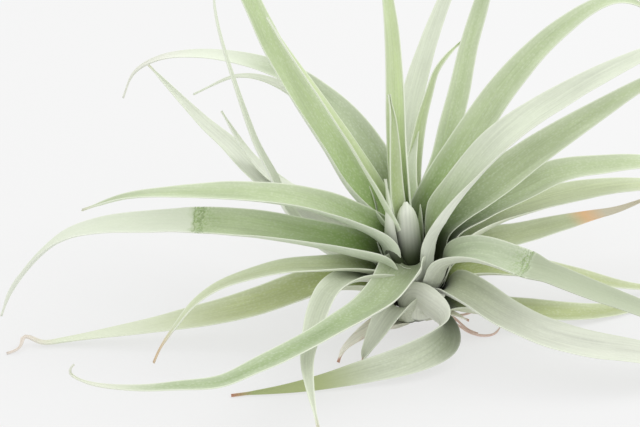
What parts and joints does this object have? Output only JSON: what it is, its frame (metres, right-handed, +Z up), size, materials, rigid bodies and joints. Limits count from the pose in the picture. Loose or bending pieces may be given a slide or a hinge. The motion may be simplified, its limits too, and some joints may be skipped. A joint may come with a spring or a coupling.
{
  "type": "air plant",
  "caption": "Air plant as it rests on a table: a rosette of long, channelled, tapering leaves on a short woody stem, with dried leaf bases and wiry roots.",
  "frame": {"origin": "on the table, under the middle of the plant's bounding box", "axes": "+Z up from the table, +X along the plant's widest spread, and -Y towards the side the picture was taken from"},
  "size_m": [0.2464, 0.1604, 0.126],
  "materials": {
    "leaf": "matte, thinly scaled",
    "young_leaf": "matte, densely scaled",
    "dried_leaf": "dry, papery",
    "stem": "rough, fibrous",
    "root": "rough, wiry"
  },
  "bodies": {
    "root": {"stem": "stem", "root_right": "root", "root_loop": "root", "root_left": "root", "root_back": "root", "root_back_left": "root", "root_back_right": "root", "dried_base_front": "dried_leaf", "dried_base_right": "dried_leaf", "dried_base_back": "dried_leaf", "leaf_right_low": "leaf", "leaf_back_floor": "leaf", "leaf_left_low_broad": "leaf", "leaf_front_under": "leaf", "leaf_back_right_floor": "leaf", "leaf_front_twist": "leaf", "leaf_back_left_floor": "leaf", "leaf_right_cross": "leaf", "leaf_front_right_broad": "leaf", "leaf_back_mid": "leaf", "leaf_left_thin_arch": "leaf", "leaf_right_orange": "leaf", "leaf_left_olive": "leaf", "leaf_back_left_low": "leaf", "leaf_right_back_low": "leaf", "leaf_left_rising": "leaf", "leaf_back_left_short": "leaf", "leaf_left_scar": "leaf", "leaf_right_scar": "leaf", "leaf_front_long": "leaf", "leaf_back_faint_arc": "leaf", "leaf_right_back_high": "leaf", "leaf_left_arch": "leaf", "leaf_back_curl": "leaf", "leaf_right_fan": "leaf", "leaf_left_back_arch": "leaf", "leaf_right_front_arch": "leaf", "leaf_left_upper_broad": "leaf", "leaf_back_tall": "leaf", "leaf_back_right_arch": "leaf", "leaf_left_upper_edge": "leaf", "leaf_back_right_tall": "leaf", "leaf_heart_front": "young_leaf", "leaf_centre_upright": "leaf", "leaf_centre_inner": "leaf", "leaf_heart_left": "young_leaf"}
  },
  "joints": []
}
